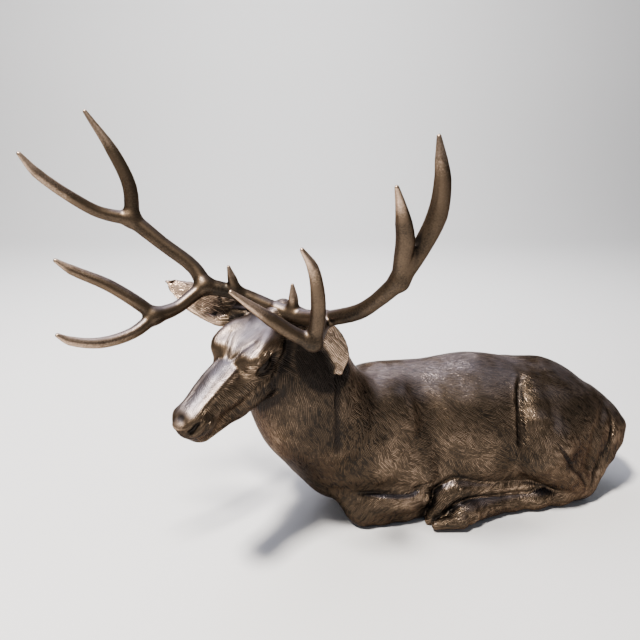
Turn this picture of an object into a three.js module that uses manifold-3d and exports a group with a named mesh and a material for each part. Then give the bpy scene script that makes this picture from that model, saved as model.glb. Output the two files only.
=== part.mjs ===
// Bronze sculpture of a buck deer at rest, life size, in millimetres, +Z up.
// The buck lies along X and faces -X, with its head turned to its own left, which is -Y.
// The body is one casting. Each antler is a casting of its own, seated on the skull.
// Flesh is a distance field: rounded masses between named anatomical points, blended together.
// The field is meshed on a fine grid, thinned by quadric collapses, then cut flat at the ground.

import * as THREE from 'three';
import { triTable } from 'three/addons/objects/MarchingCubes.js';
import { mergeVertices } from 'three/addons/utils/BufferGeometryUtils.js';
import Module from 'manifold-3d';

const wasm = await Module();
wasm.setup();

// ---- Driving dimensions ----

const FIT_GAP = 0.3;            // gap between castings that touch
const SEAT_CLEARANCE = 2;       // room around an antler's foot where it passes the skull
const DEER_CELL = 6;            // grid step that the body is meshed on
const ANTLER_CELL = 4;
const DEER_TRIANGLES = 6850;
const ANTLER_TRIANGLES = 1300;
const FOOT_TRIANGLES = 700;
const BLEND = { flesh: 55, limb: 22, head: 18, fine: 8, antler: 11 };

const BACK = 430;               // height of the back over the ground, with the trunk's masses blended
const LOIN_DROP = 216;          // from the back down to the middle of the trunk
const POLL = [-535, -210, 650]; // top of the skull, between the antlers
const HEAD_YAW = 42.5;          // degrees that the head turns to the buck's left
const HEAD_PITCH = 31.5;        // degrees that the nose points down
const HEAD_ROLL = 10.8;         // degrees that the left ear tips down

const NEAR = -1;                // the buck's left side, at -Y
const FAR = 1;

// ---- Vectors and the head's own frame ----

const add = (a, b, k = 1) => [a[0] + k * b[0], a[1] + k * b[1], a[2] + k * b[2]];
const dot = (a, b) => a[0] * b[0] + a[1] * b[1] + a[2] * b[2];
const norm = (a) => Math.hypot(...a);
const unit = (a) => a.map((v) => v / norm(a));
const cross = (a, b) => [a[1] * b[2] - a[2] * b[1], a[2] * b[0] - a[0] * b[2], a[0] * b[1] - a[1] * b[0]];
const mix = (a, b, t) => a + (b - a) * t;

function headAxes() {
  const [yaw, pitch, roll] = [HEAD_YAW, HEAD_PITCH, HEAD_ROLL].map((v) => v * Math.PI / 180);
  const forward = [-Math.cos(yaw) * Math.cos(pitch), -Math.sin(yaw) * Math.cos(pitch), -Math.sin(pitch)];
  const level = [Math.sin(yaw), -Math.cos(yaw), 0];
  const over = cross(forward, level);
  const left = add(level.map((v) => v * Math.cos(roll)), over, -Math.sin(roll));
  return { forward, left, up: cross(forward, left) };
}
const HEAD = headAxes();

// A direction and a point given in the head's frame: forward, left, up, from the poll.
const headWay = ([f, l, u]) => add(add(HEAD.forward.map((v) => v * f), HEAD.left, l), HEAD.up, u);
const inHead = (p) => add(POLL, headWay(p));

// ---- The distance field ----

// A mass runs from a to b with its radius going from ra to rb.
// thin.along squeezes its section in that direction by the factor thin.by.
function mass(a, b, ra, rb, blend, thin = null) {
  const ab = add(b, a, -1);
  const centre = add(a, ab, 0.5);
  return {
    a, ab, ra, rb, blend, centre,
    length2: Math.max(dot(ab, ab), 1e-9),
    reach: norm(ab) / 2 + Math.max(ra, rb),
    side: thin ? unit(thin.along) : null,
    squeeze: thin ? thin.by - 1 : 0,
  };
}

// Masses that join without swelling where they meet, as one mass. It may have a hollow of its own.
function bundle(members, blend, hollow = null) {
  const low = [0, 1, 2].map((i) => Math.min(...members.map((m) => m.centre[i] - m.reach)));
  const high = [0, 1, 2].map((i) => Math.max(...members.map((m) => m.centre[i] + m.reach)));
  const across = add(high, low, -1);
  return { members, hollow, blend, centre: add(low, across, 0.5), reach: norm(across) / 2 };
}

function distanceTo(m, x, y, z) {
  if (m.members) {
    const d = Math.min(...m.members.map((one) => distanceTo(one, x, y, z)));
    return m.hollow ? -smoothMin(-d, distanceTo(m.hollow, x, y, z), BLEND.fine / 2) : d;
  }
  const [px, py, pz] = [x - m.a[0], y - m.a[1], z - m.a[2]];
  const h = Math.min(1, Math.max(0, (px * m.ab[0] + py * m.ab[1] + pz * m.ab[2]) / m.length2));
  let [qx, qy, qz] = [px - h * m.ab[0], py - h * m.ab[1], pz - h * m.ab[2]];
  if (m.side) {
    const s = m.squeeze * (qx * m.side[0] + qy * m.side[1] + qz * m.side[2]);
    qx += s * m.side[0];
    qy += s * m.side[1];
    qz += s * m.side[2];
  }
  return Math.hypot(qx, qy, qz) - mix(m.ra, m.rb, h);
}

function smoothMin(a, b, k) {
  const h = Math.max(k - Math.abs(a - b), 0) / k;
  return Math.min(a, b) - h * h * k / 4;
}

const FAR_AWAY = 1e3;

function addMasses(d, masses, x, y, z) {
  let sum = d;
  for (const m of masses) {
    const bound = Math.hypot(x - m.centre[0], y - m.centre[1], z - m.centre[2]) - m.reach;
    if (bound > sum + m.blend) continue;
    sum = smoothMin(sum, distanceTo(m, x, y, z), m.blend);
  }
  return sum;
}

// A form is its masses, the cuts into them, and the raised details over the cuts.
function fieldAt({ masses, cuts = [], details = [] }, x, y, z) {
  let d = addMasses(FAR_AWAY, masses, x, y, z);
  for (const c of cuts) {
    const bound = Math.hypot(x - c.centre[0], y - c.centre[1], z - c.centre[2]) - c.reach;
    if (-bound < d - c.blend) continue;
    d = -smoothMin(-d, distanceTo(c, x, y, z), c.blend);
  }
  return addMasses(d, details, x, y, z);
}

const PROBE = 0.6;              // step that the field's slope is measured over
const MOST_STEP = 6;

function slopeAt(form, p) {
  return [[1, 0, 0], [0, 1, 0], [0, 0, 1]].map((way) =>
    (fieldAt(form, ...add(p, way, PROBE)) - fieldAt(form, ...add(p, way, -PROBE))) / (2 * PROBE));
}

function ontoSkin(form, point) {
  let p = point;
  for (let round = 0; round < 5; round++) {
    const slope = slopeAt(form, p);
    const step = Math.min(MOST_STEP, Math.max(-MOST_STEP, fieldAt(form, ...p)));
    p = add(p, slope, -step / Math.max(dot(slope, slope), 0.25));
  }
  return p;
}

const curveThrough = (points) =>
  new THREE.CatmullRomCurve3(points.map((p) => new THREE.Vector3(...p)), false, 'centripetal');

function valueAt(list, t) {
  const last = list.length - 1;
  const k = Math.min(Math.floor(t * last), last - 1);
  return mix(list[k], list[k + 1], t * last - k);
}

// A chain of masses through a smooth curve: points and radii at its knots, cut into steps.
function chain(points, radii, steps, blend, thin = null) {
  const curve = curveThrough(points);
  const out = [];
  for (let i = 0; i < steps; i++) {
    const [t0, t1] = [i / steps, (i + 1) / steps];
    const [a, b] = [t0, t1].map((t) => curve.getPoint(t).toArray());
    out.push(mass(a, b, valueAt(radii, t0), valueAt(radii, t1), blend, thin));
  }
  return out;
}

// A ridge along points, or a crease where the height is negative. The points are first brought
// onto the skin, and the height dies away towards both ends.
function alongSkin(skin, points, radii, height, blend) {
  const steps = 4 * (points.length - 1);
  const curve = curveThrough(points);
  const stations = [];
  for (let i = 0; i <= steps; i++) {
    const t = i / steps;
    const radius = valueAt(radii, t);
    const stands = height * Math.min(1, 4.5 * Math.min(t, 1 - t));
    const p = ontoSkin(skin, curve.getPoint(t).toArray());
    stations.push({ radius, at: add(p, unit(slopeAt(skin, p)), stands - Math.sign(height) * radius) });
  }
  const from = stations.slice(0, -1);
  const members = from.map((s, i) => mass(s.at, stations[i + 1].at, s.radius, stations[i + 1].radius, blend));
  return bundle(members, blend);
}

// ---- Trunk, neck and tail ----

function trunk() {
  const narrow = (by) => ({ along: [0, 1, 0], by });
  return [
    mass([-205, 0, 213], [50, 0, BACK - LOIN_DROP], 190, 194, BLEND.flesh, narrow(1.16)),
    mass([-120, 0, 186], [160, -10, 186], 164, 166, BLEND.flesh),
    mass([-120, 0, 90], [160, -10, 90], 96, 96, BLEND.flesh),
    mass([50, 0, BACK - LOIN_DROP], [240, -10, 219], 194, 183, BLEND.flesh, narrow(1.17)),
    mass([250, -12, 222], [385, -36, 205], 160, 112, BLEND.flesh),
    mass([385, -38, 205], [436, -56, 190], 100, 78, BLEND.flesh),
    mass([-385, -75, 215], [-250, -20, 185], 116, 155, BLEND.flesh),
    mass([-358, -68, 122], [-250, -20, 106], 80, 110, BLEND.flesh),
  ];
}

function neck() {
  return chain([[-330, -54, 236], [-434, -120, 346], [-480, -160, 466], [-506, -176, 560]],
    [136, 133, 110, 70], 6, BLEND.flesh);
}

function tail() {
  return chain([[436, -58, 268], [470, -94, 225], [438, -120, 145], [394, -140, 57]],
    [25, 30, 27, 13], 6, BLEND.fine);
}

// ---- Legs, folded under the body ----

function foreleg(side) {
  const y = (v) => side * v;
  const blade = side === FAR ? 262 : 316;       // height of the shoulder blade
  return [
    mass([-225, y(74), blade - 32], [-325, y(108), 205], 80, 86, BLEND.flesh),
    mass([-325, y(116), 190], [-126, y(136), 148], 74, 52, BLEND.limb * 1.5),
    mass([-334, y(126), 116], [-240, y(140), 100], 54, 50, BLEND.limb),
    mass([-232, y(112), blade + 18], [-214, y(120), blade], 66, 62, BLEND.flesh),
    mass([-282, y(128), 226], [-262, y(134), 210], 68, 62, BLEND.flesh),
    mass([-312, y(146), 70], [-304, y(150), 54], 44, 42, BLEND.limb),
    ...chain([[-134, y(156), 74], [-200, y(157), 76], [-290, y(154), 62]], [33, 42, 43], 3, BLEND.limb),
    ...chain([[-288, y(158), 32], [-210, y(152), 26], [-110, y(144), 22]], [34, 28, 24], 3, BLEND.limb),
    ...hoof([-100, y(142), 24], [1, 0, -0.05], [0, 1, 0]),
  ];
}

function hindleg(side) {
  const y = (v) => side * v - 10;
  const low = side === FAR ? 20 : 0;
  const shin = [[200, y(146), 182 - low], [284, y(138), 122 - low / 2], [372, y(118), 55]];
  return [
    mass([300, y(62), 225], [222, y(126), 218 - low], 114, 84, BLEND.limb * 1.6),
    mass([345, y(65), 185], [378, y(100), 78], 98, 50, BLEND.limb),
    mass([222, y(138), 212 - low], [186, y(146), 196 - low], 72, 62, BLEND.limb),
    ...chain(shin, [62, 52, 36], 4, BLEND.limb),
    ...chain([[180, y(70), 356], [176, y(132), 304], [178, y(156), 246]], [28, 34, 36], 3, BLEND.limb),
  ];
}

function nearHindFoot() {
  const cannon = [[378, -118, 34], [260, -143, 34], [140, -148, 34], [56, -166, 34], [10, -186, 38]];
  return [
    ...chain(cannon, [35, 33, 32, 30, 30], 6, BLEND.limb),
    ...chain([[10, -186, 38], [-12, -194, 40], [-34, -201, 31]], [30, 34, 27], 3, BLEND.fine),
    ...hoof([-30, -203, 31], [-1, 0.04, -0.1], [0.1, 1, 0.1], 1.12),
  ];
}

function farHindFoot() {
  const cannon = [[300, -100, 74], [210, -138, 78], [140, -148, 83], [70, -152, 85], [10, -156, 88]];
  return [
    ...chain(cannon, [27, 23, 23, 25, 28], 6, BLEND.fine),
    ...chain([[10, -156, 88], [-40, -162, 94], [-72, -165, 74]], [29, 35, 28], 4, BLEND.fine),
    ...hoof([-70, -165, 72], [-0.55, -0.02, -0.83], [0, 1, 0.1], 1.12),
  ];
}

// A cloven hoof: two tapering toes side by side, and two dewclaws behind the fetlock.
function hoof(at, way, across, size = 1) {
  const [w, s] = [unit(way), unit(across)];
  const toes = [-1, 1].map((k) => {
    const root = add(at, s, 15 * k);
    return mass(root, add(add(root, w, 64 * size), s, 2 * k), 19 * size, 11 * size, BLEND.fine);
  });
  const claws = [-1, 1].map((k) => {
    const root = add(add(at, w, -42), s, 12 * k);
    return mass(root, add(add(root, w, 14), [0, 0, -12]), 8, 6, BLEND.fine);
  });
  return [...toes, ...claws];
}

// ---- Creases between the masses, drawn on the near side and mirrored to the far side ----

const mirrored = (points, side) => points.map(([x, y, z]) => [x, -side * y, z]);

const FLANK_LINE = [[160, -84, 402], [140, -112, 372], [128, -146, 334], [124, -168, 297],
  [126, -184, 254], [128, -196, 206]];
const HAUNCH_LINE = [[206, -198, 262], [234, -214, 222], [276, -206, 172], [340, -176, 98], [362, -176, 64]];
const RUMP_LINE = [[426, -90, 304], [391, -135, 283], [359, -169, 250], [356, -177, 197], [364, -166, 140]];
const BELLY_LINE = [[-330, -180, 122], [-290, -188, 116], [-236, -194, 114], [-176, -198, 112],
  [-128, -196, 122], [-92, -190, 138]];
const ELBOW_LINE = [[-102, -168, 254], [-90, -177, 213], [-82, -184, 166]];
const BLADE_LINE = [[-150, -118, 372], [-132, -150, 318], [-108, -170, 262], [-92, -178, 214],
  [-84, -184, 170]];
const TAIL_LINE = [[412, -84, 296], [420, -112, 232], [398, -138, 152], [366, -150, 66]];
const THROAT_LINE = [[-395, -254, 492], [-396, -266, 435], [-394, -266, 357], [-388, -256, 290]];

function creases(skin) {
  const cuts = [];
  for (const side of [NEAR, FAR]) {
    for (const [line, radii, depth, blend] of [
      [FLANK_LINE, [5, 9, 10, 11, 12, 9], 9, 7],
      [HAUNCH_LINE, [4, 6, 7, 7, 5], 7, 5],
      [RUMP_LINE, [10, 16, 16, 10], 4, 16],
      [BELLY_LINE, [5, 7, 7, 7], 7, 7],
      [ELBOW_LINE, [8, 13, 10], 6, 18],
      [BLADE_LINE, [30, 38, 36, 28, 16], 7, 30],
    ]) {
      cuts.push(alongSkin(skin, mirrored(line, side), radii, -depth, blend));
    }
  }
  cuts.push(alongSkin(skin, TAIL_LINE, [6, 9, 9, 7], -10, 4));
  cuts.push(alongSkin(skin, THROAT_LINE, [3, 6, 6, 4], -4.5, 8));
  return cuts;
}

// ---- Head ----

function headMass(a, b, ra, rb, blend = BLEND.head, thin = null) {
  return mass(inHead(a), inHead(b), ra, rb, blend, thin && { along: headWay(thin.along), by: thin.by });
}

// Points in the head's frame, on the head's left where s is 1 and mirrored to its right where s is -1.
const onHead = (points, s) => points.map(([f, l, u]) => inHead([f, s * l, u]));

function skull() {
  const masses = [
    headMass([10, 0, -66], [110, 0, -54], 60, 58),
    headMass([120, 0, -52], [220, 0, -48], 52, 42, BLEND.head, { along: [0, 1, 0], by: 1.1 }),
    headMass([220, 0, -46], [296, 0, -48], 43, 42, BLEND.head, { along: [0, 1, 0], by: 1.12 }),
    headMass([90, 0, -116], [200, 0, -114], 52, 39),
    headMass([200, 0, -114], [296, 0, -84], 39, 31),
    headMass([-8, 14, -14], [20, 8, -10], 22, 18),
    headMass([298, 0, -42], [311, 0, -44], 30, 27, BLEND.fine),
    headMass([66, 0, -27], [126, 0, -27], 56, 46, BLEND.head, { along: [0, 0, 1], by: 1.7 }),
  ];
  for (const s of [-1, 1]) {
    const brow = onHead([[150, 50, -4], [136, 56, 0], [104, 50, 3], [60, 34, -8]], s);
    masses.push(headMass([138, s * 38, -20], [92, s * 40, -24], 31, 34));
    masses.push(bundle(chain(brow, [7, 9, 10, 8], 6, BLEND.fine), 14));
    masses.push(headMass([70, s * 34, -104], [175, s * 30, -98], 50, 34));
    masses.push(headMass([130, s * 38, -56], [206, s * 24, -56], 30, 24));
    masses.push(headMass([6, s * 20, -34], [8, s * 24, -18], 26, 18, BLEND.fine));
    masses.push(headMass([292, s * 18, -44], [305, s * 14, -36], 26, 25, BLEND.fine));
  }
  return masses;
}

function skullCuts(skin) {
  const cuts = [];
  for (const s of [-1, 1]) {
    const nostril = onHead([[330, 16, -40], [324, 26, -31], [313, 34, -23], [302, 37, -22]], s);
    const mouth = onHead([[333, 8, -80], [316, 27, -86], [274, 35, -100], [230, 38, -116]], s);
    cuts.push(headMass([146, s * 73, -30], [106, s * 77, -34], 16, 19, 8));
    cuts.push(alongSkin(skin, nostril, [4, 6, 6.5, 4], -8, 3));
    cuts.push(alongSkin(skin, mouth, [3, 4, 4, 3], -3, 3));
  }
  return cuts;
}

const EYE = [127, 48, -28];
const EYE_RADIUS = 16.5;

// The flat top of the muzzle with its two edges, and the eyeballs.
function headDetails() {
  const spine = onHead([[150, 0, -22], [184, 0, -13], [250, 0, -14], [320, 0, -21]], 1);
  const plate = chain(spine, [20, 25, 24, 21], 6, 5, { along: HEAD.up, by: 2.6 });
  const eyes = [];
  for (const s of [-1, 1]) {
    const edge = onHead([[158, 20, -20], [186, 24, -14], [250, 23, -15], [318, 17, -22]], s);
    plate.push(...chain(edge, [6, 8, 8, 7], 6, 5));
    const [front, back] = [3, -3].map((k) => [EYE[0] + k, s * EYE[1], EYE[2]]);
    eyes.push(headMass(front, back, EYE_RADIUS, EYE_RADIUS, 2));
  }
  return [bundle(plate, 6), ...eyes];
}

// An ear is a leaf: a flat chain that swells and closes to a tip, hollowed on its open side.
function ear(root, middle, tip, facing) {
  const open = unit(headWay(facing));
  const points = [root, middle, tip].map(inHead);
  const hollow = points.map((p) => add(p, open, 13));
  const start = mixPoint(hollow[0], hollow[1], 0.4);
  const end = mixPoint(hollow[1], hollow[2], 0.78);
  const inner = bundle(chain([start, hollow[1], end], [14, 31, 9], 6, 3, { along: open, by: 3 }), 3);
  const leaf = chain(points, [25, 43, 35, 10], 12, BLEND.fine, { along: open, by: 3 });
  return [
    bundle(leaf, BLEND.fine, inner),
    mass(points[0], mixPoint(points[0], points[1], 0.3), 20, 17, BLEND.fine),
  ];
}
const mixPoint = (a, b, t) => add(a, add(b, a, -1), t);

const EAR_LEFT = ear([-4, 74, -52], [-8, 126, -92], [18, 158, -136], [-0.6, -0.5, -0.55]);
const EAR_RIGHT = ear([35, -66, -32], [64, -148, -5], [84, -236, 43], [0.48, 0.43, 0.76]);

// ---- Antlers: each branch has its knots in the head's frame, and a radius at each ----

const ANTLER_RIGHT = {
  seat: { at: [9, -30, 3], way: [0.28, -0.86, 0.43] },
  branches: [
    { knots: [[2, -8, -14], [25, -82, 23], [58, -140, 54]], radii: [15.5, 15, 17] },
    { knots: [[58, -140, 54], [45, -172, 84], [52, -237, 138], [57, -299, 190]],
      radii: [17, 14.5, 14, 16] },
    { knots: [[26, -82, 31], [17, -92, 59], [8, -101, 83]], radii: [12, 9, 4] },
    { knots: [[57, -299, 190], [95, -338, 225], [114, -366, 263], [137, -406, 335], [138, -426, 375]],
      radii: [14, 11.5, 11, 9, 4.5] },
    { knots: [[57, -299, 190], [19, -313, 244], [-3, -349, 308], [-15, -399, 383]],
      radii: [15, 13.5, 11.5, 4.5] },
    { knots: [[58, -140, 54], [97, -147, 53], [138, -154, 54], [182, -168, 68]],
      radii: [15, 13.5, 13, 16.5] },
    { knots: [[182, -168, 68], [190, -198, 108], [204, -241, 152], [230, -289, 198], [239, -309, 224]],
      radii: [13, 12.5, 11.5, 9, 4.5] },
    { knots: [[182, -168, 68], [241, -172, 74], [299, -192, 97], [335, -218, 130], [344, -230, 151]],
      radii: [13, 11, 10, 8, 4.5] },
  ],
};

const ANTLER_LEFT = {
  seat: { at: [2, 27, -6], way: [-0.05, 0.98, 0.1] },
  branches: [
    { knots: [[4, 6, -10], [-3, 65, -11], [-4, 132, 15]], radii: [19, 17.5, 16] },
    { knots: [[-4, 132, 15], [-13, 218, 74], [-24, 254, 112], [-52, 288, 152]],
      radii: [15.5, 14.5, 13.5, 16] },
    { knots: [[-5, 45, -6], [-20, 42, 24], [-33, 36, 48]], radii: [12, 9, 4] },
    { knots: [[-54, 290, 155], [-69, 290, 197], [-78, 292, 233], [-79, 290, 270], [-76, 288, 309],
        [-72, 285, 347]],
      radii: [14, 15, 16, 13.5, 8, 4] },
    { knots: [[-54, 290, 155], [-100, 306, 195], [-144, 319, 246], [-168, 317, 302], [-176, 310, 337],
        [-188, 300, 370]],
      radii: [15, 16, 17, 13.5, 9.5, 4] },
    { knots: [[-4, 132, 15], [48, 158, 47], [94, 184, 82]], radii: [15.5, 15, 15] },
    { knots: [[94, 184, 82], [73, 187, 119], [58, 190, 180], [45, 181, 233], [45, 166, 269]],
      radii: [13.5, 13.5, 12, 9, 4] },
    { knots: [[94, 184, 82], [106, 160, 102], [118, 118, 140], [134, 56, 201]], radii: [13.5, 12.5, 12, 4] },
  ],
};

const BRANCH_SPARE = 1.2;       // a bundled branch is this much thinner than a blended one
const SLIM = 6;

function antlerForm({ branches }) {
  const masses = branches.map(({ knots, radii }) => {
    const full = radii.map((r) => (r > SLIM ? r + BRANCH_SPARE : r));
    return bundle(chain(knots.map(inHead), full, 4 * (knots.length - 1), BLEND.antler), BLEND.antler);
  });
  return { masses };
}

// ---- Meshing the field: marching cubes ----

const BLOCK = 8;                // the grid is visited in blocks of this many cells a side
const CLEAR_OF_BLOCK = 2.5;     // a block whose middle is this many half diagonals away holds no surface

function eachCell([i0, j0, k0], [i1, j1, k1], step, visit) {
  for (let k = k0; k < k1; k += step) {
    for (let j = j0; j < j1; j += step) {
      for (let i = i0; i < i1; i += step) visit(i, j, k);
    }
  }
}

function meshField(form, cell) {
  const low = [Infinity, Infinity, Infinity];
  const high = [-Infinity, -Infinity, -Infinity];
  for (const m of form.masses) {
    for (let i = 0; i < 3; i++) {
      low[i] = Math.min(low[i], m.centre[i] - m.reach);
      high[i] = Math.max(high[i], m.centre[i] + m.reach);
    }
  }
  const count = low.map((v, i) => Math.ceil((high[i] - v) / cell) + 3);
  const at = (i, k) => low[i] - cell + k * cell;
  const [nx, ny, nz] = count;
  const value = new Float32Array(nx * ny * nz).fill(FAR_AWAY);
  const halfDiagonal = BLOCK * cell * Math.sqrt(3) / 2;
  const clear = CLEAR_OF_BLOCK * halfDiagonal;
  eachCell([0, 0, 0], count, BLOCK, (i0, j0, k0) => {
    const middle = [i0, j0, k0].map((v, n) => at(n, v + BLOCK / 2));
    if (fieldAt(form, ...middle) > clear) return;
    const end = [i0, j0, k0].map((v, n) => Math.min(v + BLOCK, count[n]));
    eachCell([i0, j0, k0], end, 1, (i, j, k) => {
      value[i + nx * (j + ny * k)] = fieldAt(form, at(0, i), at(1, j), at(2, k));
    });
  });
  return marchCubes(value, count, at);
}

// Corners of a cell in the table's order, and the two corners at the ends of each edge.
const CORNERS = [[0, 0, 0], [1, 0, 0], [0, 1, 0], [1, 1, 0], [0, 0, 1], [1, 0, 1], [0, 1, 1], [1, 1, 1]];
const EDGES = [[0, 1], [1, 3], [2, 3], [0, 2], [4, 5], [5, 7], [6, 7], [4, 6],
  [0, 4], [1, 5], [3, 7], [2, 6]];
const TABLE_BITS = [0, 1, 3, 2, 4, 5, 7, 6];
const TABLE_ROW = 16;
const EDGE_END = 0.03;          // a vertex keeps this share of the edge away from its ends

function marchCubes(value, [nx, ny, nz], at) {
  const positions = [];
  const faces = [];
  const onEdge = new Map();
  const index = (i, j, k) => i + nx * (j + ny * k);
  const vertex = (i, j, k, edge) => {
    const [c0, c1] = EDGES[edge].map((c) => CORNERS[c].map((v, n) => v + [i, j, k][n]));
    const [g0, g1] = [index(...c0), index(...c1)];
    const axis = c0.findIndex((v, n) => v !== c1[n]);
    const key = Math.min(g0, g1) * 3 + axis;
    if (!onEdge.has(key)) {
      const t = Math.min(1 - EDGE_END, Math.max(EDGE_END, value[g0] / (value[g0] - value[g1])));
      onEdge.set(key, positions.length);
      positions.push(c0.map((v, n) => mix(at(n, v), at(n, c1[n]), t)));
    }
    return onEdge.get(key);
  };
  eachCell([0, 0, 0], [nx - 1, ny - 1, nz - 1], 1, (i, j, k) => {
    let cube = 0;
    CORNERS.forEach(([a, b, c], n) => {
      if (value[index(i + a, j + b, k + c)] < 0) cube |= 1 << TABLE_BITS[n];
    });
    for (let n = 0; triTable[cube * TABLE_ROW + n] !== -1; n += 3) {
      faces.push([2, 1, 0].map((c) => vertex(i, j, k, triTable[cube * TABLE_ROW + n + c])));
    }
  });
  return { positions, faces };
}

// ---- Thinning the mesh: the edge whose loss shows least goes first ----

const MOST_TURN = 0.2;          // cosine of the most that a face may turn as a corner moves
const LONG_EDGE = 1e-7;         // weight that keeps flat regions from getting very long faces
const NEAR_SINGULAR = 1e-5;

class Heap {
  items = [];
  push(item) {
    const a = this.items;
    let i = a.push(item) - 1;
    while (i > 0) {
      const up = (i - 1) >> 1;
      if (a[up].cost <= a[i].cost) break;
      [a[up], a[i]] = [a[i], a[up]];
      i = up;
    }
  }
  pop() {
    const a = this.items;
    const top = a[0];
    const last = a.pop();
    if (a.length) {
      a[0] = last;
      for (let i = 0; ;) {
        let least = i;
        for (const c of [2 * i + 1, 2 * i + 2]) {
          if (c < a.length && a[c].cost < a[least].cost) least = c;
        }
        if (least === i) break;
        [a[least], a[i]] = [a[i], a[least]];
        i = least;
      }
    }
    return top;
  }
}

// A quadric is the sum of squared distances to planes, as the ten terms of a symmetric 4x4 matrix.
function planeQuadric(n, d, weight) {
  const [a, b, c] = n;
  return [a * a, a * b, a * c, a * d, b * b, b * c, b * d, c * c, c * d, d * d].map((v) => v * weight);
}

function quadricCost(q, [x, y, z]) {
  return q[0] * x * x + q[4] * y * y + q[7] * z * z + q[9]
    + 2 * (q[1] * x * y + q[2] * x * z + q[5] * y * z + q[3] * x + q[6] * y + q[8] * z);
}

function bestPoint(q, p0, p1) {
  const m = new THREE.Matrix3().set(q[0], q[1], q[2], q[1], q[4], q[5], q[2], q[5], q[7]);
  const size = q[0] + q[4] + q[7];
  const middle = p0.map((v, i) => (v + p1[i]) / 2);
  if (Math.abs(m.determinant()) > NEAR_SINGULAR * size ** 3) {
    const best = new THREE.Vector3(-q[3], -q[6], -q[8]).applyMatrix3(m.invert()).toArray();
    if (norm(add(best, middle, -1)) < norm(add(p1, p0, -1))) return best;
  }
  return [middle, p0, p1].sort((a, b) => quadricCost(q, a) - quadricCost(q, b))[0];
}

function thinMesh({ positions, faces }, target) {
  const points = positions.slice();
  const facesOf = points.map(() => new Set());
  const quadrics = points.map(() => new Array(10).fill(0));
  const stamps = new Array(points.length).fill(0);
  const live = faces.map((f) => f.slice());
  const normal = (a, b, c) => cross(add(b, a, -1), add(c, a, -1));
  live.forEach((f, n) => {
    const across = normal(...f.map((v) => points[v]));
    const area = norm(across);
    const flat = area > 1e-9 ? across.map((v) => v / area) : [0, 0, 0];
    const q = planeQuadric(flat, -dot(flat, points[f[0]]), area);
    for (const v of f) {
      facesOf[v].add(n);
      q.forEach((term, i) => { quadrics[v][i] += term; });
    }
  });
  const neighbours = (v) => new Set([...facesOf[v]].flatMap((n) => live[n]).filter((w) => w !== v));
  const heap = new Heap();
  const offer = (u, v) => {
    const q = quadrics[u].map((term, i) => term + quadrics[v][i]);
    const to = bestPoint(q, points[u], points[v]);
    const length = norm(add(points[u], points[v], -1));
    const cost = quadricCost(q, to) + LONG_EDGE * length ** 4;
    heap.push({ cost, u, v, to, q, stamp: stamps[u] + stamps[v] });
  };
  for (const f of live) {
    f.forEach((v, i) => {
      const next = f[(i + 1) % 3];
      if (v < next) offer(v, next);
    });
  }
  const turns = (v, other, to) => [...facesOf[v]].some((n) => {
    if (live[n].includes(other)) return false;
    const before = normal(...live[n].map((w) => points[w]));
    const after = normal(...live[n].map((w) => (w === v ? to : points[w])));
    return dot(before, after) < MOST_TURN * norm(before) * norm(after) || norm(after) < 1e-6;
  });
  let count = live.length;
  while (count > target && heap.items.length) {
    const { u, v, to, q, stamp } = heap.pop();
    if (!facesOf[u] || !facesOf[v] || stamps[u] + stamps[v] !== stamp) continue;
    const round = neighbours(v);
    const shared = [...neighbours(u)].filter((w) => round.has(w));
    if (shared.length !== 2 || shared.some((w) => facesOf[w].size <= 3)) continue;
    if (turns(u, v, to) || turns(v, u, to)) continue;
    for (const n of facesOf[v]) {
      if (live[n].includes(u)) {
        live[n].forEach((w) => facesOf[w].delete(n));
        live[n] = null;
        count--;
      } else {
        live[n][live[n].indexOf(v)] = u;
        facesOf[u].add(n);
      }
    }
    facesOf[v] = null;
    points[u] = to;
    quadrics[u] = q;
    for (const w of neighbours(u)) stamps[w]++;
    stamps[u]++;
    for (const w of neighbours(u)) {
      for (const x of neighbours(w)) {
        if (x !== u && w < x) offer(w, x);
      }
      offer(u, w);
    }
  }
  return { positions: points, faces: live.filter((f) => f) };
}

// ---- Solids: closed meshes that are cut and joined ----

function solidFromGeometry(geometry) {
  const bare = geometry.clone();
  bare.deleteAttribute('normal');
  bare.deleteAttribute('uv');
  const merged = mergeVertices(bare, 1e-4);
  return new wasm.Manifold(new wasm.Mesh({
    numProp: 3,
    vertProperties: merged.attributes.position.array,
    triVerts: new Uint32Array(merged.index.array),
  }));
}

function solidFromField(form, cell, triangles) {
  const { positions, faces } = thinMesh(meshField(form, cell), triangles);
  const geometry = new THREE.BufferGeometry();
  geometry.setAttribute('position', new THREE.Float32BufferAttribute(positions.flat(), 3));
  geometry.setIndex(faces.flat());
  return solidFromGeometry(geometry.toNonIndexed());
}

function meshFromSolid(name, solid, material) {
  const { vertProperties, triVerts } = solid.getMesh();
  const geometry = new THREE.BufferGeometry();
  geometry.setAttribute('position', new THREE.BufferAttribute(vertProperties, 3));
  geometry.setIndex(new THREE.BufferAttribute(triVerts, 1));
  geometry.computeVertexNormals();
  const mesh = new THREE.Mesh(geometry, material);
  mesh.name = name;
  return mesh;
}

// The skull is cut by the antler's foot, grown by the clearance, from the seat outwards.
function footRoom(antler) {
  const foot = antler.branches.slice(0, 3).map(({ knots, radii }) =>
    ({ knots, radii: radii.map((r) => r + SEAT_CLEARANCE) }));
  const solid = solidFromField(antlerForm({ branches: foot }), ANTLER_CELL, FOOT_TRIANGLES);
  return solid.subtract(behindSeat(antler.seat, 0));
}

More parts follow.
